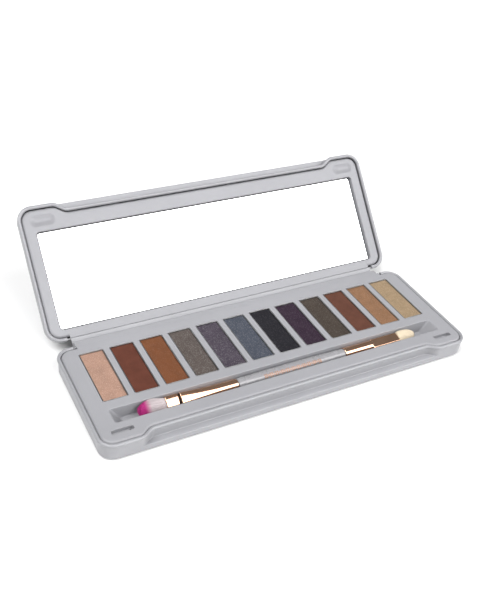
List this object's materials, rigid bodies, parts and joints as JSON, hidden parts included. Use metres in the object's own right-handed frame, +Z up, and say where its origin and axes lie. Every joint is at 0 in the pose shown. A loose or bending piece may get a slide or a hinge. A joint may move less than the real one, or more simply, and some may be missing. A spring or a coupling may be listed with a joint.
{
  "type": "eyeshadow palette",
  "caption": "Slim hinged metal case with pressed eyeshadow pans, a mirror in the lid and a double-ended brush in a channel.",
  "frame": {"origin": "centre of the base's flat underside", "axes": "+X along the case to the right, +Y from the front edge to the hinge, +Z up"},
  "size_m": [0.199, 0.1247, 0.0571],
  "materials": {
    "tin_paint": "satin",
    "wire_steel": "satin",
    "insert_plastic": "satin",
    "mirror_silver": "polished",
    "tape_foam": "matt",
    "pan_metal": "satin",
    "powder_peach_shimmer": "matt",
    "powder_chocolate": "matt",
    "powder_copper": "matt",
    "powder_olive_taupe": "matt",
    "powder_plum_grey": "matt",
    "powder_slate": "matt",
    "powder_soot": "matt",
    "powder_aubergine": "matt",
    "powder_dark_taupe": "matt",
    "powder_russet": "matt",
    "powder_tan": "matt",
    "powder_sand_gold": "matt",
    "handle_lacquer": "gloss",
    "rose_gold": "polished",
    "brush_hair": "matt",
    "foam_sponge": "matt"
  },
  "bodies": {
    "base": {"base_shell": "tin_paint", "hinge_wire": "wire_steel", "tray_insert": "insert_plastic", "pan_01": "pan_metal", "pan_02": "pan_metal", "pan_03": "pan_metal", "pan_04": "pan_metal", "pan_05": "pan_metal", "pan_06": "pan_metal", "pan_07": "pan_metal", "pan_08": "pan_metal", "pan_09": "pan_metal", "pan_10": "pan_metal", "pan_11": "pan_metal", "pan_12": "pan_metal", "powder_01": "powder_peach_shimmer", "powder_02": "powder_chocolate", "powder_03": "powder_copper", "powder_04": "powder_olive_taupe", "powder_05": "powder_plum_grey", "powder_06": "powder_slate", "powder_07": "powder_soot", "powder_08": "powder_aubergine", "powder_09": "powder_dark_taupe", "powder_10": "powder_russet", "powder_11": "powder_tan", "powder_12": "powder_sand_gold"},
    "lid": {"lid_shell": "tin_paint", "mirror_frame": "insert_plastic", "mirror_glass": "mirror_silver", "mirror_tape": "tape_foam"},
    "brush": {"brush_handle": "handle_lacquer", "brush_ferrule": "rose_gold", "sponge_ferrule": "rose_gold", "bristle_tuft": "brush_hair", "sponge_tip": "foam_sponge"}
  },
  "joints": [
    {"name": "lid_hinge", "type": "hinge", "parent": "base", "child": "lid", "pos_m": [0, 0.0366, 0.0078], "axis": [1, 0, 0], "range_deg": [0, 133]},
    {"name": "brush_lift", "type": "slide", "parent": "base", "child": "brush", "axis": [0, 0, -1], "range_m": [-0.04, 0]}
  ]
}
